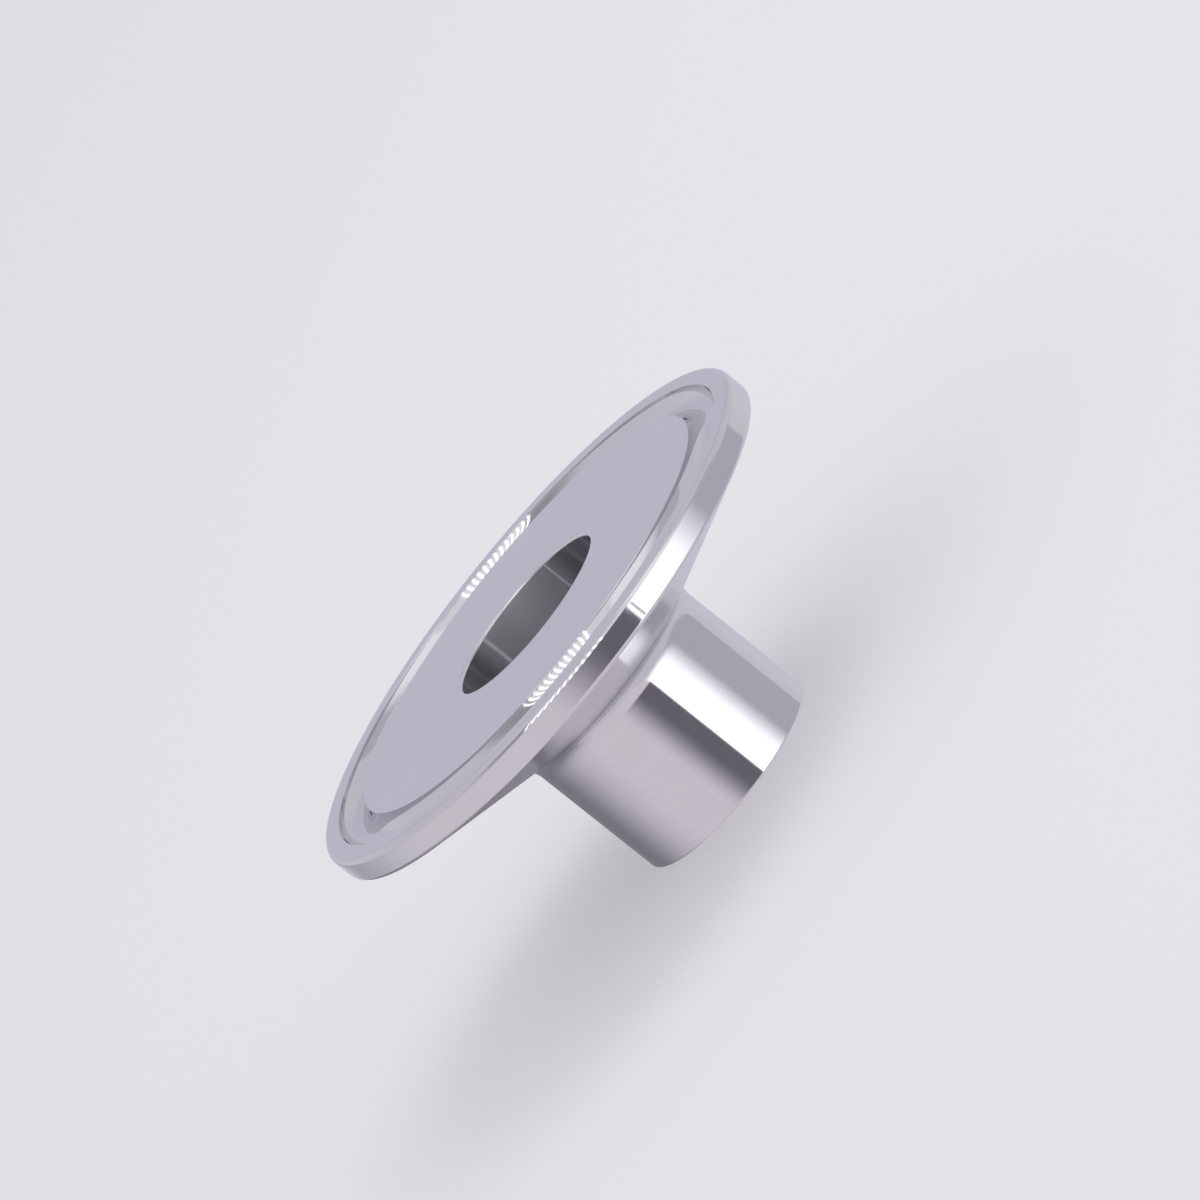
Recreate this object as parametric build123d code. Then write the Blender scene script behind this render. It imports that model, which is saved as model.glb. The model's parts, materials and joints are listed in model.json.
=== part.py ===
"""Sanitary clamp ferrule, turned in one piece from stainless bar. Millimetres, +Z up.

The part is one solid of revolution about Z. It stands on the end that is welded to the pipe,
with the sealing face on top, and its origin is the centre of that lower end. Going round the
half-section: a thin-walled tube stub, a generous root fillet, a conical back that the clamp
bears on, a short upright rim, and a flat sealing face with a half-round groove for the bead
of the gasket.
"""

from build123d import *

import os
from math import cos, radians, tan

# Driving dimensions
FLANGE_OD = 50.5  # outside diameter of the clamping flange
TUBE_OD = 19.0  # outside diameter of the weld stub, the same as the pipe's
TUBE_WALL = 1.5  # wall of the stub and of the pipe
LENGTH = 21.5  # sealing face to weld end
RIM_HEIGHT = 2.4  # sealing face to the corner where the conical back starts
BACK_ANGLE = 20.0  # slope of the conical back from the sealing face, degrees
RIM_LAND = 1.9  # flat ring of sealing face left outside the groove
GROOVE_RADIUS = 1.6  # section radius of the half-round gasket groove

# Edges
RIM_BREAK = 0.3  # chamfer on both corners of the rim
GROOVE_LIP = 0.12  # chamfer on both lips of the groove
MOUTH_BREAK = 0.2  # chamfer on the bore mouth in the sealing face
WELD_BREAK = 0.15  # chamfer on both edges of the weld end
ROOT_FILLET = 2.0  # conical back to stub

# Sizes that follow from them
RIM_R = FLANGE_OD / 2
STUB_R = TUBE_OD / 2
BORE_R = STUB_R - TUBE_WALL
RIM_CORNER_Z = LENGTH - RIM_HEIGHT
ROOT_Z = RIM_CORNER_Z - (RIM_R - STUB_R) * tan(radians(BACK_ANGLE))
GROOVE_R = RIM_R - RIM_LAND - GROOVE_RADIUS

# An edge takes at most this share of the shortest wall that it runs along
WALL_SHARE = 0.45
# Turn of the outline at a square corner, and at the one between the conical back and the stub
QUARTER = radians(90)
BACK_TURN = radians(90 - BACK_ANGLE)


def within(size, turn, *walls):
    """Return the size of an edge, or the largest one that fits the walls on its corner.

    turn is the angle in radians by which the outline changes direction at the corner. The
    size is a fillet's radius there, and at a square corner it is a chamfer's length as well.
    """
    reach = tan(turn / 2)
    return min(size, *(WALL_SHARE * wall / reach for wall in walls))


def outline():
    """Return the sharp half-section of the turned blank, in the plane of the axis."""
    return Polyline(
        (BORE_R, 0),
        (STUB_R, 0),
        (STUB_R, ROOT_Z),
        (RIM_R, RIM_CORNER_Z),
        (RIM_R, LENGTH),
        (BORE_R, LENGTH),
        close=True,
    )


def corner(section, radius, height):
    """Return the vertex of a section that lies at a radius and height."""
    return section.vertices().sort_by_distance((radius, height, 0))[0]


def half_section():
    """Return the finished half-section: the blank with its groove and every edge broken."""
    inner_land = GROOVE_R - GROOVE_RADIUS - BORE_R
    back_length = (RIM_R - STUB_R) / cos(radians(BACK_ANGLE))
    rim = within(RIM_BREAK, QUARTER, RIM_HEIGHT, RIM_LAND, back_length)
    lip = within(GROOVE_LIP, QUARTER, RIM_LAND, GROOVE_RADIUS)
    mouth = within(MOUTH_BREAK, QUARTER, inner_land, LENGTH)
    root = within(ROOT_FILLET, BACK_TURN, back_length, ROOT_Z)
    weld = within(WELD_BREAK, QUARTER, TUBE_WALL)

    with BuildSketch(Plane.XZ) as section:
        with BuildLine():
            outline()
        make_face()
        with Locations((GROOVE_R, LENGTH)):
            Circle(GROOVE_RADIUS, mode=Mode.SUBTRACT)
        fillet(corner(section, STUB_R, ROOT_Z), root)
        for height in (RIM_CORNER_Z, LENGTH):
            chamfer(corner(section, RIM_R, height), rim)
        for side in (-1, 1):
            chamfer(corner(section, GROOVE_R + side * GROOVE_RADIUS, LENGTH), lip)
        chamfer(corner(section, BORE_R, LENGTH), mouth)
        for radius in (BORE_R, STUB_R):
            chamfer(corner(section, radius, 0), weld)
    return section.sketch


def ferrule():
    """Return the ferrule, its half-section turned once round the axis."""
    part = revolve(half_section(), axis=Axis.Z, revolution_arc=360)
    part.label = "ferrule"
    return part


os.makedirs("parts", exist_ok=True)
export_step(ferrule(), "parts/ferrule.step")
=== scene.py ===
"""Sanitary clamp ferrule in polished stainless steel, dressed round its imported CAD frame.

The ferrule is one turned piece, so the file has one main class for it, a lathe made with
Geometry Nodes that spins its half-section, a finish for the steel, and a small studio.
"""

import json
import logging
import math
from dataclasses import dataclass, field
from enum import Enum
from typing import Any, Sequence

import bpy
from mathutils import Matrix, Vector


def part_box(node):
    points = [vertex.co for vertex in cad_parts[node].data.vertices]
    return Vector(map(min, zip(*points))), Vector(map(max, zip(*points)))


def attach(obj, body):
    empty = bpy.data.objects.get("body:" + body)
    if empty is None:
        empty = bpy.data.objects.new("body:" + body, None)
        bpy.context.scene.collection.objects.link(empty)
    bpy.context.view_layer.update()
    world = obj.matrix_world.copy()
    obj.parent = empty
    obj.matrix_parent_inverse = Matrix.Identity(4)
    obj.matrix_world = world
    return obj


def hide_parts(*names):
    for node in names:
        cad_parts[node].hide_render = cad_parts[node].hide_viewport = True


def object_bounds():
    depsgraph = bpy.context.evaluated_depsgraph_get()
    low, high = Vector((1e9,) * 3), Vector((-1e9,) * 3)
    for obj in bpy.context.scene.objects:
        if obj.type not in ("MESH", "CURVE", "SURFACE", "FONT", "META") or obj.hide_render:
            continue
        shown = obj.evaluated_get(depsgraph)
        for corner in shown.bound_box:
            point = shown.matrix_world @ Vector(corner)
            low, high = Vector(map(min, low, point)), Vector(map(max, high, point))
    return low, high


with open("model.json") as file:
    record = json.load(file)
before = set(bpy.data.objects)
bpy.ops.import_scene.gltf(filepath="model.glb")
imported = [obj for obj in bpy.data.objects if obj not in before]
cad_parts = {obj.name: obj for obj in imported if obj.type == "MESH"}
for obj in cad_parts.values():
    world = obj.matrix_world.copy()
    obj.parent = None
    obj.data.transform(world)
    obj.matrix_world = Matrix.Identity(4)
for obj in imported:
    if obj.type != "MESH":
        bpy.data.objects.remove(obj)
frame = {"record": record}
cad_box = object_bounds()

LOG = logging.getLogger("ferrule")
MM = 0.001
Colour = tuple[float, float, float]
Point = tuple[float, float]
Span = tuple[float, float]


# --- Node trees -------------------------------------------------------------------------


class Signal:
    """A number travelling through a node tree, open to ordinary Python arithmetic."""

    def __init__(self, bench: "Bench", socket: bpy.types.NodeSocket) -> None:
        """Wrap an output socket of a tree that bench is wiring."""
        self.bench = bench
        self.socket = socket

    def _maths(self, operation: str, *values: Any) -> "Signal":
        """Add one Math node.

        Args:
            operation: The Math node's operation.
            values: The numbers or signals of its sockets, in order.

        Returns:
            The node's result.
        """
        node = self.bench.node("ShaderNodeMath", dict(enumerate(values)), operation=operation)
        return Signal(self.bench, node.outputs[0])

    def __add__(self, other: Any) -> "Signal":
        """Return self + other."""
        return self._maths("ADD", self, other)

    def __radd__(self, other: Any) -> "Signal":
        """Return other + self."""
        return self._maths("ADD", other, self)

    def __sub__(self, other: Any) -> "Signal":
        """Return self - other."""
        return self._maths("SUBTRACT", self, other)

    def __rsub__(self, other: Any) -> "Signal":
        """Return other - self."""
        return self._maths("SUBTRACT", other, self)

    def __mul__(self, other: Any) -> "Signal":
        """Return self * other."""
        return self._maths("MULTIPLY", self, other)

    def __rmul__(self, other: Any) -> "Signal":
        """Return other * self."""
        return self._maths("MULTIPLY", other, self)

    def __truediv__(self, other: Any) -> "Signal":
        """Return self / other."""
        return self._maths("DIVIDE", self, other)

    def __rtruediv__(self, other: Any) -> "Signal":
        """Return other / self."""
        return self._maths("DIVIDE", other, self)

    def __mod__(self, other: Any) -> "Signal":
        """Return the remainder of self / other."""
        return self._maths("MODULO", self, other)

    def __rmod__(self, other: Any) -> "Signal":
        """Return the remainder of other / self."""
        return self._maths("MODULO", other, self)

    def __neg__(self) -> "Signal":
        """Return self with its sign changed."""
        return 0 - self

    def __abs__(self) -> "Signal":
        """Return self without its sign."""
        return self._maths("ABSOLUTE", self)

    def root(self) -> "Signal":
        """Return the square root."""
        return self._maths("SQRT", self)

    def round(self) -> "Signal":
        """Return the nearest whole number."""
        return self._maths("ROUND", self)

    def sine(self) -> "Signal":
        """Return the sine of an angle in radians."""
        return self._maths("SINE", self)

    def cosine(self) -> "Signal":
        """Return the cosine of an angle in radians."""
        return self._maths("COSINE", self)

    def bearing(self, other: "Signal") -> "Signal":
        """Return the angle in radians whose tangent is self over other."""
        return self._maths("ARCTAN2", self, other)

    def ramp(self, start: float, end: float) -> "Signal":
        """Rise smoothly from 0 at start to 1 at end, or fall where end is the lower.

        Args:
            start: The value at which the ramp leaves 0.
            end: The value at which it reaches 1.

        Returns:
            The ramp, held at 0 and 1 outside those values.
        """
        low, high = min(start, end), max(start, end)
        node = self.bench.node(
            "ShaderNodeMapRange",
            {"Value": self, "From Min": low, "From Max": high},
            interpolation_type="SMOOTHSTEP",
        )
        rising = Signal(self.bench, node.outputs[0])
        return rising if start < end else 1 - rising


class Bench:
    """A node tree under construction."""

    def __init__(self, tree: bpy.types.NodeTree) -> None:
        """Start from an empty tree."""
        self.tree = tree
        tree.nodes.clear()

    def node(
        self, kind: str, sockets: dict[Any, Any] | None = None, **settings: Any
    ) -> bpy.types.Node:
        """Add one node.

        Args:
            kind: The node's type.
            sockets: A value or a link for each input, by the input's name or number.
            settings: The node's own properties, such as an operation, set before the sockets.

        Returns:
            The new node.
        """
        made = self.tree.nodes.new(kind)
        for name, value in settings.items():
            setattr(made, name, value)
        for name, value in (sockets or {}).items():
            self._plug(made.inputs[name], value)
        return made

    def _plug(self, target: bpy.types.NodeSocket, value: Any) -> None:
        """Give an input its value, or link it to a signal or an output socket.

        Args:
            target: The input.
            value: A plain value, a signal or an output socket.
        """
        if isinstance(value, Signal):
            self.tree.links.new(value.socket, target)
        elif isinstance(value, bpy.types.NodeSocket):
            self.tree.links.new(value, target)
        else:
            target.default_value = value

    def signal(self, node: bpy.types.Node, output: Any = 0) -> Signal:
        """Return one output of a node as a signal."""
        return Signal(self, node.outputs[output])

    def split(self, vector: bpy.types.NodeSocket) -> tuple[Signal, Signal, Signal]:
        """Return the x, y and z of a vector."""
        node = self.node("ShaderNodeSeparateXYZ", {0: vector})
        return self.signal(node, 0), self.signal(node, 1), self.signal(node, 2)

    def place(self) -> bpy.types.NodeSocket:
        """Return the place on the piece, in its own metres."""
        return self.node("ShaderNodeTexCoord").outputs["Object"]

    def tint(self, factor: Any, low: Colour, high: Colour) -> bpy.types.NodeSocket:
        """Mix two colours.

        Args:
            factor: 0 for low, 1 for high.
            low: The colour at 0.
            high: The colour at 1.

        Returns:
            The mixed colour's socket.
        """
        colours = {0: factor, 6: (*low, 1), 7: (*high, 1)}
        return self.node("ShaderNodeMix", colours, data_type="RGBA").outputs[2]

    def blotches(self, place: bpy.types.NodeSocket, size: float, detail: float) -> Signal:
        """Return noise between 0 and 1.

        Args:
            place: The point that is looked up.
            size: The width of one blotch, in metres.
            detail: How many finer layers lie on it.

        Returns:
            The noise at that point.
        """
        look_up = {"Vector": place, "Scale": 1 / size, "Detail": detail}
        return self.signal(self.node("ShaderNodeTexNoise", look_up), "Fac")

    def lines(self, across: Signal, pitch: float, detail: float) -> Signal:
        """Return uneven lines that a tool leaves, as noise along one direction only.

        Args:
            across: The distance across the lines, in metres.
            pitch: The rough width of one line, in metres.
            detail: How many finer layers lie on it.

        Returns:
            The height of the lines between 0 and 1.
        """
        look_up = {"W": across / pitch, "Scale": 1.0, "Detail": detail}
        return self.signal(self.node("ShaderNodeTexNoise", look_up, noise_dimensions="1D"), "Fac")


def new_material(name: str) -> tuple[bpy.types.Material, Bench]:
    """Make a material that is wired with nodes.

    Args:
        name: The material's name.

    Returns:
        The material and the bench for its tree.
    """
    material = bpy.data.materials.new(name)
    material.use_nodes = True
    return material, Bench(material.node_tree)


# --- Sizes ------------------------------------------------------------------------------


@dataclass(frozen=True)
class Turning:
    """Sizes of the turned piece in metres, from the frame where the frame gives them."""

    rim_radius: float
    stub_radius: float
    bore_radius: float
    length: float
    rim_height: float = 2.4 * MM
    back_angle: float = math.radians(20)
    rim_land: float = 1.9 * MM
    groove_radius: float = 1.6 * MM
    rim_round: float = 0.55 * MM
    back_round: float = 0.45 * MM
    groove_lip: float = 0.12 * MM
    mouth_round: float = 0.35 * MM
    weld_round: float = 0.15 * MM
    root_fillet: float = 2.0 * MM

    @classmethod
    def from_frame(cls) -> "Turning":
        """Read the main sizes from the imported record's mounts and the node's box.

        Returns:
            The sizes of the whole turned piece.
        """
        mounts = {mount["name"]: mount["dims"] for mount in frame["record"]["mounts"]}
        low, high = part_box("ferrule")
        return cls(
            rim_radius=mounts["rim"]["r_mm"] * MM,
            stub_radius=mounts["stub"]["r_mm"] * MM,
            bore_radius=mounts["bore"]["r_mm"] * MM,
            length=high.z - low.z,
        )

    @property
    def rim_foot(self) -> float:
        """Height of the corner between the rim and the conical back."""
        return self.length - self.rim_height

    @property
    def root(self) -> float:
        """Height of the corner between the conical back and the stub."""
        return self.rim_foot - (self.rim_radius - self.stub_radius) * math.tan(self.back_angle)

    @property
    def groove(self) -> float:
        """Radius of the middle of the gasket groove."""
        return self.rim_radius - self.rim_land - self.groove_radius


# --- Half-section -----------------------------------------------------------------------


@dataclass(frozen=True)
class Arc:
    """A round stretch of an outline. Its sweep is positive to the left, in radians."""

    centre: Point
    radius: float
    start: float
    sweep: float

    def points(self, step: float, fewest: int = 4) -> list[Point]:
        """Divide the arc.

        Args:
            step: The widest angle between two points, in radians.
            fewest: How many parts a short arc still has.

        Returns:
            Points along the arc, both ends among them.
        """
        count = max(fewest, math.ceil(abs(self.sweep) / step))
        angles = [self.start + self.sweep * i / count for i in range(count + 1)]
        return [
            (self.centre[0] + self.radius * math.cos(a), self.centre[1] + self.radius * math.sin(a))
            for a in angles
        ]


def rounded(before: Point, corner: Point, after: Point, radius: float) -> Arc:
    """Round one corner of an outline.

    Args:
        before: The corner that comes before it.
        corner: The corner itself.
        after: The corner that comes after it.
        radius: The radius of the round.

    Returns:
        The arc that is tangent to both sides.
    """
    first = (Vector(corner) - Vector(before)).normalized()
    second = (Vector(after) - Vector(corner)).normalized()
    turn = math.atan2(first.x * second.y - first.y * second.x, first.dot(second))
    side = math.copysign(radius, turn)
    touch = Vector(corner) - first * radius * math.tan(abs(turn) / 2)
    centre = touch + Vector((-first.y, first.x)) * side
    spoke = touch - centre
    return Arc(tuple(centre), radius, math.atan2(spoke.y, spoke.x), turn)


@dataclass(frozen=True)
class HalfSection:
    """The outline of the ferrule on one side of its axis, as radius and height.

    Rounds closer than touching share a point. A flat over the shortest gets guards.
    """

    sizes: Turning
    step: float = math.radians(6)
    guard: float = 0.04 * MM
    touching: float = 0.004 * MM
    shortest: float = 0.16 * MM

    def arcs(self) -> list[Arc]:
        """Round every corner of the outline.

        Returns:
            The round stretches, anticlockwise from the bore's lower edge.
        """
        s = self.sizes
        bore_foot, stub_foot = (s.bore_radius, 0.0), (s.stub_radius, 0.0)
        root, rim_foot = (s.stub_radius, s.root), (s.rim_radius, s.rim_foot)
        rim_top, bore_top = (s.rim_radius, s.length), (s.bore_radius, s.length)
        return [
            rounded(bore_top, bore_foot, stub_foot, s.weld_round),
            rounded(bore_foot, stub_foot, root, s.weld_round),
            rounded(stub_foot, root, rim_foot, s.root_fillet),
            rounded(root, rim_foot, rim_top, s.back_round),
            rounded(rim_foot, rim_top, bore_top, s.rim_round),
            *self.groove_arcs(),
            rounded(rim_top, bore_top, bore_foot, s.mouth_round),
        ]

    def groove_arcs(self) -> list[Arc]:
        """Shape the gasket groove, whose bed is half round.

        Returns:
            The outer lip, the bed and the inner lip.
        """
        s = self.sizes
        reach = math.sqrt(s.groove_radius**2 + 2 * s.groove_radius * s.groove_lip)
        dip = math.asin(s.groove_lip / (s.groove_radius + s.groove_lip))
        quarter = math.pi / 2
        lip_height = s.length - s.groove_lip
        outer = Arc((s.groove + reach, lip_height), s.groove_lip, quarter, quarter - dip)
        bed = Arc((s.groove, s.length), s.groove_radius, -dip, 2 * dip - math.pi)
        inner = Arc((s.groove - reach, lip_height), s.groove_lip, dip, quarter - dip)
        return [outer, bed, inner]

    def points(self) -> list[Point]:
        """Join the rounds, with a guard point beside each one.

        The guards keep the shading of the long flats true right up to their edges.

        Returns:
            The closed outline, anticlockwise.
        """
        arcs = self.arcs()
        outline: list[Point] = []
        for arc, following in zip(arcs, arcs[1:] + arcs[:1]):
            outline += arc.points(self.step)
            end, start = Vector(outline[-1]), Vector(following.points(self.step)[0])
            flat = start - end
            if flat.length < self.touching:
                outline.pop()
            elif flat.length > self.shortest:
                inset = flat.normalized() * self.guard
                outline += [tuple(end + inset), tuple(start - inset)]
        return outline


# --- Shapes from Geometry Nodes ---------------------------------------------------------


def open_tree(name: str, sockets: Sequence[tuple[str, str]]) -> Bench:
    """Start a Geometry Nodes tree.

    Args:
        name: The tree's name.
        sockets: Name and kind of each input in order, and of the one output at the end.

    Returns:
        The bench for the tree.
    """
    tree = bpy.data.node_groups.new(name, "GeometryNodeTree")
    for i, (label, kind) in enumerate(sockets):
        way = "OUTPUT" if i == len(sockets) - 1 else "INPUT"
        tree.interface.new_socket(label, in_out=way, socket_type="NodeSocket" + kind)
    return Bench(tree)


def grow(
    name: str, blank: bpy.types.Mesh, tree: bpy.types.NodeTree, values: dict[str, Any]
) -> bpy.types.Object:
    """Make an object with a Geometry Nodes tree.

    Args:
        name: The object's name.
        blank: The mesh that the tree starts from.
        tree: The tree that makes the shape.
        values: A value for each of the tree's named inputs.

    Returns:
        The object as a plain mesh with no modifier.
    """
    made = bpy.data.objects.new(name, blank)
    bpy.context.scene.collection.objects.link(made)
    modifier = made.modifiers.new(tree.name, "NODES")
    modifier.node_group = tree
    for item in tree.interface.items_tree:
        if item.in_out == "INPUT" and item.name in values:
            modifier[item.identifier] = values[item.name]
    return settle(made)


def settle(maker: bpy.types.Object) -> bpy.types.Object:
    """Turn an object with live modifiers into a plain mesh object.

    Args:
        maker: The object whose modifiers make the shape.

    Returns:
        The same object, with its made shape as its mesh and no modifier.
    """
    graph = bpy.context.evaluated_depsgraph_get()
    made = bpy.data.meshes.new_from_object(maker.evaluated_get(graph))
    maker.modifiers.clear()
    while None in made.materials[:]:
        made.materials.pop(index=made.materials[:].index(None))
    made.name = maker.name
    maker.data = made
    return maker


# --- Lathe ------------------------------------------------------------------------------


@dataclass(frozen=True)
class Lathe:
    """Spins a half-section round Z with Geometry Nodes."""

    facets: int = 360
    weld_gap: float = 0.0005 * MM

    def tree(self) -> bpy.types.NodeTree:
        """Build the node tree that turns a closed outline into a solid of revolution.

        The outline's points become the columns of a grid, its rows are turned round the
        axis, and both seams are welded.

        Returns:
            The tree, whose inputs are Outline, Facets, Weld Gap and Finish.
        """
        bench = open_tree(
            "lathe",
            (
                ("Outline", "Geometry"),
                ("Facets", "Int"),
                ("Weld Gap", "Float"),
                ("Finish", "Material"),
                ("Turned", "Geometry"),
            ),
        )
        given = bench.node("NodeGroupInput").outputs
        outline, facets = given["Outline"], Signal(bench, given["Facets"])
        counted = bench.node("GeometryNodeAttributeDomainSize", {"Geometry": outline})
        count = bench.signal(counted, "Point Count")
        grid = bench.node(
            "GeometryNodeMeshGrid",
            {"Size X": 1.0, "Size Y": 1.0, "Vertices X": count + 1, "Vertices Y": facets + 1},
        )
        here = bench.node("GeometryNodeInputPosition").outputs[0]
        across, along, _ = bench.split(here)
        column = ((across + 0.5) * count).round()
        sampled = bench.node(
            "GeometryNodeSampleIndex",
            {"Geometry": outline, "Value": here, "Index": column % count},
            data_type="FLOAT_VECTOR",
        )
        radius, _, height = bench.split(sampled.outputs[0])
        angle = (along + 0.5) * -math.tau
        turned = bench.node(
            "ShaderNodeCombineXYZ",
            {"X": radius * angle.cosine(), "Y": radius * angle.sine(), "Z": height},
        )
        moved = bench.node(
            "GeometryNodeSetPosition",
            {"Geometry": grid.outputs["Mesh"], "Position": turned.outputs[0]},
        )
        welded = bench.node(
            "GeometryNodeMergeByDistance",
            {"Geometry": moved.outputs[0], "Distance": given["Weld Gap"]},
        )
        smooth = bench.node("GeometryNodeSetShadeSmooth", {"Geometry": welded.outputs[0]})
        whole = bench.node("GeometryNodeRealizeInstances", {"Geometry": smooth.outputs[0]})
        dressed = bench.node(
            "GeometryNodeSetMaterial",
            {"Geometry": whole.outputs[0], "Material": given["Finish"]},
        )
        bench.node("NodeGroupOutput", {"Turned": dressed.outputs[0]})
        return bench.tree

    def turn(
        self, name: str, outline: Sequence[Point], finish: bpy.types.Material
    ) -> bpy.types.Object:
        """Turn a closed outline into a finished piece.

        Args:
            name: The piece's name.
            outline: Radius and height of each point, anticlockwise.
            finish: The material of the whole piece.

        Returns:
            The piece, a plain mesh with no modifier, at the origin.
        """
        wire = bpy.data.meshes.new(name + "_outline")
        wire.from_pydata([(r, 0.0, z) for r, z in outline], [], [])
        values = {"Facets": self.facets, "Weld Gap": self.weld_gap, "Finish": finish}
        return grow(name, wire, self.tree(), values)


# --- Finish -----------------------------------------------------------------------------


@dataclass(frozen=True)
class MirrorSteel:
    """Stainless steel, mirror polished outside, with a plainer bore and weld end.

    Angles in the bore run from +Y to +X. Each painted bore highlight has its angle and half its
    width.
    """

    sizes: Turning
    bright: Colour = (0.635, 0.625, 0.655)
    deep: Colour = (0.615, 0.602, 0.632)
    tone_range: Span = (0.35, 0.65)
    polish: float = 0.045
    haze: float = 0.035
    haze_width: float = 9 * MM
    haze_detail: float = 4.0
    haze_share: float = 0.6
    smear: float = 0.02
    smear_width: float = 1.6 * MM
    smear_detail: float = 5.0
    smear_range: Span = (0.52, 0.8)
    bore_edge: float = 0.05 * MM
    bore_roughness: float = 0.30
    bore_metallic: float = 0.84
    # painted shade: between these angles the bore's sides are more mirror-like and more metallic,
    # so they render darker
    side: Span = (math.radians(27), math.radians(56))
    shaded_side_roughness: float = 0.07
    shaded_side_metallic: float = 0.955
    # painted highlights: two brighter, less metallic stripes along the bore wall stand in for
    # reflected light
    painted_bore_highlights: tuple[Span, ...] = (
        (math.radians(-28), math.radians(2.0)),
        (math.radians(30), math.radians(1.3)),
    )
    highlight_metallic: float = 0.25
    under_root: Span = (1.6 * MM, 0.6 * MM)
    under_rim: float = 0.5 * MM
    under_roughness: float = 0.15
    cut_height: Span = (0.12 * MM, 0.04 * MM)
    cut_roughness: float = 0.24
    cut_depth: float = 14
    fine_pitch: float = 0.09 * MM
    fine_detail: float = 1.0
    fine_slope: float = 0.7
    fine_height: float = 0.00003 * MM
    coarse_pitch: float = 0.3 * MM
    coarse_detail: float = 3.0
    coarse_slope: float = 0.8
    coarse_share: float = 0.4
    ripple_width: float = 5.0 * MM
    ripple_detail: float = 0.0
    ripple_height: float = 0.0016 * MM

    def material(self) -> bpy.types.Material:
        """Wire the steel.

        Returns:
            The material, whose polish, haze and tool marks follow the turned form.
        """
        s = self.sizes
        material, bench = new_material("polished_steel")
        place = bench.place()
        x, y, z = bench.split(place)
        radius = (x * x + y * y).root()
        in_bore = radius.ramp(s.bore_radius + s.mouth_round, s.bore_radius + self.bore_edge)
        at_cut = z.ramp(*self.cut_height)
        low, high = self.under_root
        below_rim = z.ramp(s.rim_foot, s.rim_foot - self.under_rim)
        under = z.ramp(s.root - low, s.root - high) * below_rim * (1 - in_bore)
        aside = x.bearing(y)
        # painted shade at the bore's sides
        painted_side_shade = abs(aside).ramp(*self.side) * in_bore
        # painted highlight stripes in the bore, at fixed angles
        on_highlight = [abs(aside - middle).ramp(width, 0) for middle, width in self.painted_bore_highlights]
        painted_highlight = sum(on_highlight) * in_bore
        haze = bench.blotches(place, self.haze_width, self.haze_detail)
        patches = bench.blotches(place, self.smear_width, self.smear_detail)
        smears = patches.ramp(*self.smear_range)
        ripple = bench.blotches(place, self.ripple_width, self.ripple_detail)
        fine = bench.lines(radius + z * self.fine_slope, self.fine_pitch, self.fine_detail)
        coarse = bench.lines(radius - z * self.coarse_slope, self.coarse_pitch, self.coarse_detail)
        tone = (haze * self.haze_share + coarse * self.coarse_share).ramp(*self.tone_range)
        metal = (
            1
            - in_bore * (1 - self.bore_metallic)
            + painted_side_shade * (self.shaded_side_metallic - self.bore_metallic)
            - painted_highlight * (self.bore_metallic - self.highlight_metallic)
        )
        rough = (
            self.polish
            + haze * self.haze
            + smears * self.smear
            + in_bore * (self.bore_roughness - self.polish)
            - painted_side_shade * (self.bore_roughness - self.shaded_side_roughness)
            + at_cut * (self.cut_roughness - self.polish)
            + under * (self.under_roughness - self.polish)
        )
        marks = fine * (at_cut * self.cut_depth + 1) * self.fine_height
        height = marks + ripple * self.ripple_height
        bump = bench.node("ShaderNodeBump", {"Strength": 1.0, "Distance": 1.0, "Height": height})
        steel = bench.node(
            "ShaderNodeBsdfPrincipled",
            {
                "Base Color": bench.tint(tone, self.deep, self.bright),
                "Metallic": metal,
                "Roughness": rough,
                "Normal": bump.outputs[0],
            },
        )
        bench.node("ShaderNodeOutputMaterial", {"Surface": steel.outputs[0]})
        return material


# --- The ferrule ------------------------------------------------------------------------


@dataclass
class Ferrule:
    """The whole product: one turned piece of polished stainless steel."""

    sizes: Turning = field(default_factory=Turning.from_frame)

    def build(self) -> list[bpy.types.Object]:
        """Turn the piece, dress it and let it stand for the CAD node.

        Returns:
            The one piece.
        """
        outline = HalfSection(self.sizes).points()
        piece = Lathe().turn("clamp_ferrule", outline, MirrorSteel(self.sizes).material())
        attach(piece, "root")
        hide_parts("ferrule")
        return [piece]


# --- Studio -----------------------------------------------------------------------------


class Duty(Enum):
    """What a card is there for."""

    MIRRORED = "seen in the steel only"
    LIGHTING = "seen in the steel, and lights the floor too"


@dataclass(frozen=True)
class Fade:
    """Width in degrees over which each side of a card thins out to nothing."""

    left: float
    right: float
    low: float
    high: float


@dataclass(frozen=True)
class Glow:
    """An even glow that thins out towards the four sides of a card, or of each lamp in a row.

    Bearings are measured from the card's own -Y. In a row, first is the middle of the first
    lamp and pitch the step to the next.
    """

    name: str
    colour: Colour
    side: float
    elevation: Span
    fade: Fade
    first: float = 0.0
    pitch: float = 0.0

    def material(self) -> bpy.types.Material:
        """Wire the glow.

        Returns:
            The material, clear where the glow has thinned out to nothing.
        """
        material, bench = new_material(self.name)
        x, y, z = bench.split(bench.place())
        way = x.bearing(-y) * math.degrees(1)
        if self.pitch:
            way = (way + (self.pitch / 2 - self.first)) % self.pitch - self.pitch / 2
        up = z.bearing((x * x + y * y).root()) * math.degrees(1)
        low, high = self.elevation
        body = (
            way.ramp(-self.side, self.fade.left - self.side)
            * way.ramp(self.side, self.side - self.fade.right)
            * up.ramp(low, low + self.fade.low)
            * up.ramp(high, high - self.fade.high)
        )
        glow = bench.node("ShaderNodeEmission", {"Color": (*self.colour, 1), "Strength": 1.0})
        clear = bench.node("ShaderNodeBsdfTransparent")
        mix = bench.node(
            "ShaderNodeMixShader", {0: body, 1: clear.outputs[0], 2: glow.outputs[0]}
        )
        bench.node("ShaderNodeOutputMaterial", {"Surface": mix.outputs[0]})
        return material


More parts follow.
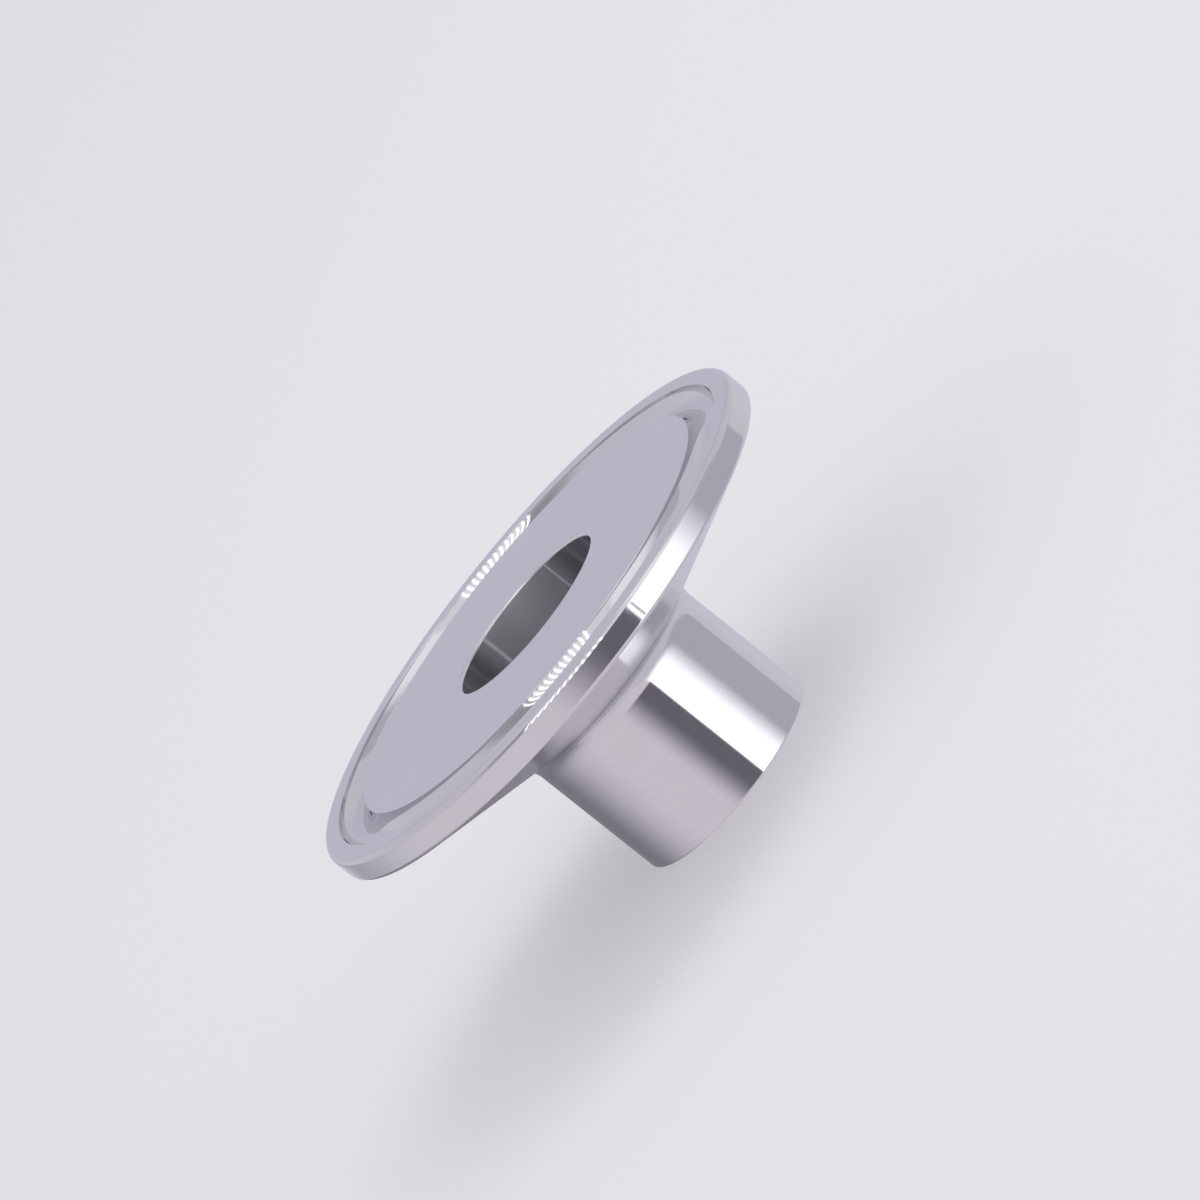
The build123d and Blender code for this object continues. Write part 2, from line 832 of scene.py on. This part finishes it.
def hang(card: bpy.types.Object, centre: Vector, duty: Duty) -> bpy.types.Object:
    """Hang a card round the object, where the camera doesn't see it.

    Args:
        card: The card, shaped about the origin.
        centre: The middle of the object.
        duty: What the card is there for.

    Returns:
        The same card, hidden from the camera and from shadows.
    """
    card.location = centre
    card.visible_camera = False
    card.visible_shadow = False
    card.visible_diffuse = duty is Duty.LIGHTING
    return card


@dataclass(frozen=True)
class Card:
    """A curved card that stands round the object, placed by bearing and elevation.

    Bearings run in degrees from -Y, where the camera stands, towards +X.
    """

    name: str
    bearing: Span
    elevation: Span
    glow: Colour
    fade: Fade
    reach: float = 0.6
    duty: Duty = Duty.MIRRORED

    def build(self, centre: Vector) -> bpy.types.Object:
        """Make the card as part of a sphere.

        Args:
            centre: The middle of the object.

        Returns:
            The card, hung round the object.
        """
        middle = sum(self.bearing) / 2
        columns = self._steps((self.bearing[0] - middle, self.bearing[1] - middle))
        rows = self._steps(self.elevation)
        points = [self._point(way, up) for up in rows for way in columns]
        wide = len(columns)
        faces = [
            (i, i + wide, i + wide + 1, i + 1)
            for row in range(len(rows) - 1)
            for i in range(row * wide, row * wide + wide - 1)
        ]
        mesh = bpy.data.meshes.new(self.name)
        mesh.from_pydata(points, [], faces)
        side = (self.bearing[1] - self.bearing[0]) / 2
        glow = Glow(self.name, self.glow, side, self.elevation, self.fade)
        mesh.materials.append(glow.material())
        card = bpy.data.objects.new(self.name, mesh)
        card.rotation_euler.z = math.radians(middle)
        bpy.context.scene.collection.objects.link(card)
        return hang(card, centre, self.duty)

    @staticmethod
    def _steps(span: Span, step: float = 3.0, fewest: int = 2) -> list[float]:
        """Divide a span evenly.

        Args:
            span: The angles of two opposite edges of the card, in degrees.
            step: The widest angle between two lines.
            fewest: How many parts a narrow card still has.

        Returns:
            The angles of both edges and of the lines between them.
        """
        count = max(fewest, math.ceil((span[1] - span[0]) / step))
        return [span[0] + (span[1] - span[0]) * i / count for i in range(count + 1)]

    def _point(self, way: float, up: float) -> tuple[float, float, float]:
        """Find a point of the card.

        Args:
            way: The point's bearing from the card's middle, in degrees.
            up: Its elevation, in degrees.

        Returns:
            The point, measured from the middle of the object.
        """
        way, up = math.radians(way), math.radians(up)
        flat = self.reach * math.cos(up)
        return (flat * math.sin(way), -flat * math.cos(way), self.reach * math.sin(up))


@dataclass(frozen=True)
class LampRow:
    """A row of small upright lamps, a few degrees apart, that sparkles in the groove."""

    bearing: Span = (-31.5, 10.0)
    elevation: Span = (2.0, 40.0)
    lamps: int = 13
    width: float = 1.55
    glow: Colour = (3.0, 3.0, 3.05)
    fade: Fade = Fade(0.4, 0.4, 1.0, 1.0)
    reach: float = 0.5
    columns: int = 3
    rows: int = 14

    def tree(self) -> bpy.types.NodeTree:
        """Build the node tree that bends one upright strip and repeats it round Z.

        Returns:
            The tree. Its inputs are Lamps, the angles First, Pitch, Width, Low and High in
            radians, Reach, the points across and up one strip, and Finish.
        """
        bench = open_tree(
            "lamp_row",
            (
                ("Lamps", "Int"),
                ("First", "Float"),
                ("Pitch", "Float"),
                ("Width", "Float"),
                ("Low", "Float"),
                ("High", "Float"),
                ("Reach", "Float"),
                ("Columns", "Int"),
                ("Rows", "Int"),
                ("Finish", "Material"),
                ("Row", "Geometry"),
            ),
        )
        given = bench.node("NodeGroupInput")
        first, pitch = bench.signal(given, "First"), bench.signal(given, "Pitch")
        low, high = bench.signal(given, "Low"), bench.signal(given, "High")
        reach = bench.signal(given, "Reach")
        strip = bench.node(
            "GeometryNodeMeshGrid",
            {
                "Size X": given.outputs["Width"],
                "Size Y": high - low,
                "Vertices X": given.outputs["Columns"],
                "Vertices Y": given.outputs["Rows"],
            },
        )
        way, rise, _ = bench.split(bench.node("GeometryNodeInputPosition").outputs[0])
        up = rise + (low + high) * 0.5
        bent = bench.node(
            "ShaderNodeCombineXYZ",
            {
                "X": reach * up.cosine() * way.sine(),
                "Y": -(reach * up.cosine() * way.cosine()),
                "Z": reach * up.sine(),
            },
        )
        lamp = bench.node(
            "GeometryNodeSetPosition",
            {"Geometry": strip.outputs["Mesh"], "Position": bent.outputs[0]},
        )
        spots = bench.node("GeometryNodePoints", {"Count": given.outputs["Lamps"]})
        number = bench.signal(bench.node("GeometryNodeInputIndex"))
        turn = bench.node("ShaderNodeCombineXYZ", {"Z": first + number * pitch})
        rotation = bench.node("FunctionNodeEulerToRotation", {0: turn.outputs[0]})
        row = bench.node(
            "GeometryNodeInstanceOnPoints",
            {
                "Points": spots.outputs[0],
                "Instance": lamp.outputs[0],
                "Rotation": rotation.outputs[0],
            },
        )
        whole = bench.node("GeometryNodeRealizeInstances", {"Geometry": row.outputs[0]})
        dressed = bench.node(
            "GeometryNodeSetMaterial",
            {"Geometry": whole.outputs[0], "Material": given.outputs["Finish"]},
        )
        bench.node("NodeGroupOutput", {"Row": dressed.outputs[0]})
        return bench.tree

    def build(self, centre: Vector) -> bpy.types.Object:
        """Make the lamps.

        Args:
            centre: The middle of the object.

        Returns:
            The whole row.
        """
        first, last = self.bearing
        pitch = (last - first) / (self.lamps - 1)
        side = self.width / 2
        glow = Glow("lamp_row", self.glow, side, self.elevation, self.fade, first, pitch)
        values = {
            "Lamps": self.lamps,
            "First": math.radians(first),
            "Pitch": math.radians(pitch),
            "Width": math.radians(self.width),
            "Low": math.radians(self.elevation[0]),
            "High": math.radians(self.elevation[1]),
            "Reach": self.reach,
            "Columns": self.columns,
            "Rows": self.rows,
            "Finish": glow.material(),
        }
        row = grow("lamp_row", bpy.data.meshes.new("lamp_row"), self.tree(), values)
        return hang(row, centre, Duty.MIRRORED)


CARDS = (
    Card(
        "softbox", (24.2, 74), (-50, 5), (1.9, 1.9, 1.95), Fade(0.6, 30, 30, 2), 0.6, Duty.LIGHTING
    ),
    Card(
        "softbox_top", (24, 74), (3, 66), (1.14, 1.14, 1.17), Fade(8, 22, 2, 12), 0.6, Duty.LIGHTING
    ),
    Card("lamp_backing", (-29, 30), (3.5, 44), (0.95, 0.94, 0.99), Fade(1.5, 6, 1, 6)),
    Card("dark_flag", (-22, 24.8), (-22, 3.5), (0.19, 0.18, 0.21), Fade(32, 0.6, 4, 1), 0.55),
    Card("dusk_left", (-72, -29), (4, 44), (0.42, 0.41, 0.45), Fade(30, 1.5, 2, 8)),
    Card("dusk_behind", (136, 214), (-50, 50), (0.645, 0.628, 0.735), Fade(34, 24, 10, 12), 0.62),
    Card("table", (-125, 26), (-80, -6), (0.86, 0.82, 0.87), Fade(40, 4, 20, 4), 0.64),
    Card("near_dark", (-196, -52), (-60, -6), (0.25, 0.24, 0.27), Fade(34, 92, 8, 6), 0.07),
    Card("grey_left", (-180, -104), (-50, 2), (0.48, 0.46, 0.52), Fade(1, 50, 8, 4), 0.63),
    Card("near_strut", (21.3, 22.1), (-2, 5), (0.40, 0.39, 0.43), Fade(0.1, 0.1, 0.5, 0.5), 0.06),
    Card("grey_right", (66, 119), (-50, 0), (0.59, 0.58, 0.64), Fade(10, 1.5, 8, 3), 0.63),
    Card("grey_upper", (66, 100), (0, 36), (0.60, 0.59, 0.65), Fade(10, 2, 3, 4), 0.63),
    Card("pale_right", (119, 186), (-50, 3), (0.79, 0.78, 0.84), Fade(1, 8, 20, 3), 0.64),
)


@dataclass(frozen=True)
class Surroundings:
    """The pale tone that fills the space round the object."""

    tone: Colour = (0.768, 0.754, 0.812)

    def build(self) -> bpy.types.World:
        """Fill the world with the tone, for the camera, the steel and the floor alike.

        Returns:
            The world, made the scene's own.
        """
        world = bpy.data.worlds.new("surroundings")
        bpy.context.scene.world = world
        world.use_nodes = True
        bench = Bench(world.node_tree)
        air = bench.node("ShaderNodeBackground", {"Color": (*self.tone, 1), "Strength": 1.0})
        bench.node("ShaderNodeOutputWorld", {"Surface": air.outputs[0]})
        return world


@dataclass(frozen=True)
class Floor:
    """A pale round floor that melts into the surroundings far out."""

    surroundings: Colour
    tone: Colour = (0.84, 0.84, 0.825)
    haze: float = 0.32
    melt: Span = (0.25, 1.6)
    radius: float = 6.0
    sides: int = 96

    def build(self) -> bpy.types.Object:
        """Lay the floor under the object, where the steel doesn't mirror it.

        Returns:
            The floor.
        """
        rim = [math.tau * i / self.sides for i in range(self.sides)]
        points = [(0.0, 0.0, 0.0)]
        points += [(self.radius * math.cos(a), self.radius * math.sin(a), 0.0) for a in rim]
        faces = [(0, 1 + i, 1 + (i + 1) % self.sides) for i in range(self.sides)]
        mesh = bpy.data.meshes.new("floor")
        mesh.from_pydata(points, [], faces)
        mesh.materials.append(self.material())
        floor = bpy.data.objects.new("floor", mesh)
        bpy.context.scene.collection.objects.link(floor)
        floor.visible_glossy = False
        return floor

    def material(self) -> bpy.types.Material:
        """Wire the floor's matt tone.

        Returns:
            The material, which takes on the surroundings' tone with distance.
        """
        material, bench = new_material("floor")
        x, y, _ = bench.split(bench.place())
        far = (x * x + y * y).root().ramp(*self.melt) * (1 - self.haze) + self.haze
        matt = bench.node("ShaderNodeBsdfDiffuse", {"Color": (*self.tone, 1)})
        air = bench.node("ShaderNodeEmission", {"Color": (*self.surroundings, 1), "Strength": 1.0})
        mix = bench.node("ShaderNodeMixShader", {0: far, 1: matt.outputs[0], 2: air.outputs[0]})
        bench.node("ShaderNodeOutputMaterial", {"Surface": mix.outputs[0]})
        return material


@dataclass(frozen=True)
class Overhead:
    """The large soft lamp that casts the floor shadow."""

    power: float = 1.15
    size: float = 0.5
    colour: Colour = (1.0, 0.99, 0.98)
    offset: tuple[float, float, float] = (0.45, 0.1, 0.6)

    def build(self, centre: Vector) -> bpy.types.Object:
        """Hang the lamp, aimed at the object and unseen by camera and steel.

        Args:
            centre: The middle of the object.

        Returns:
            The lamp.
        """
        lamp = bpy.data.lights.new("overhead", "AREA")
        lamp.shape = "DISK"
        lamp.size = self.size
        lamp.energy = self.power
        lamp.color = self.colour
        place = centre + Vector(self.offset)
        made = bpy.data.objects.new("overhead", lamp)
        made.location = place
        made.rotation_euler = (centre - place).to_track_quat("-Z", "Y").to_euler()
        made.visible_camera = False
        made.visible_glossy = False
        bpy.context.scene.collection.objects.link(made)
        return made


@dataclass(frozen=True)
class StudioCamera:
    """A long lens a little above the sealing face, turned so that the part lies over."""

    elevation: float = math.radians(13.03)
    roll: float = math.radians(51.36)
    distance: float = 800 * MM
    lens: float = 297.4
    sensor: float = 36.0
    aim_share: float = 0.6
    across: float = -0.46 * MM
    up: float = 6.27 * MM
    nearest: float = 0.05
    furthest: float = 20.0

    def build(self, centre: Vector) -> bpy.types.Object:
        """Place the camera.

        Args:
            centre: The middle of the object.

        Returns:
            The camera, made the scene's own.
        """
        forward = Vector((0, math.cos(self.elevation), -math.sin(self.elevation)))
        level_up = Vector((0, math.sin(self.elevation), math.cos(self.elevation)))
        right = Vector((math.cos(self.roll), 0, 0)) - level_up * math.sin(self.roll)
        above = Vector((math.sin(self.roll), 0, 0)) + level_up * math.cos(self.roll)
        height = 2 * centre.z
        aim = Vector((centre.x, centre.y, height * self.aim_share))
        spot = aim - forward * self.distance + right * self.across + above * self.up
        turn = Matrix((right, above, -forward)).transposed()
        data = bpy.data.cameras.new("camera")
        data.lens = self.lens
        data.sensor_width = self.sensor
        data.clip_start = self.nearest
        data.clip_end = self.furthest
        camera = bpy.data.objects.new("camera", data)
        camera.matrix_world = Matrix.Translation(spot) @ turn.to_4x4()
        bpy.context.scene.collection.objects.link(camera)
        bpy.context.scene.camera = camera
        return camera


@dataclass(frozen=True)
class Studio:
    """Pale floor, pale surroundings, soft lamps, and the camera."""

    centre: Vector
    surroundings: Surroundings = Surroundings()
    cards: tuple[Card, ...] = CARDS

    def build(self) -> None:
        """Set up the surroundings, the floor, the cards, the lamps and the camera."""
        self.surroundings.build()
        Floor(self.surroundings.tone).build()
        for card in self.cards:
            card.build(self.centre)
        LampRow().build(self.centre)
        Overhead().build(self.centre)
        StudioCamera().build(self.centre)
        bpy.context.scene.view_settings.view_transform = "Standard"


# --- Main -------------------------------------------------------------------------------


def main() -> None:
    """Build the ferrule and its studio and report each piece."""
    logging.basicConfig(level=logging.INFO, format="%(name)s: %(message)s")
    for piece in Ferrule().build():
        LOG.info("%s: %d faces", piece.name, len(piece.data.polygons))
    low, high = (Vector(corner) for corner in cad_box)
    Studio((low + high) / 2).build()


if __name__ == "__main__":
    main()
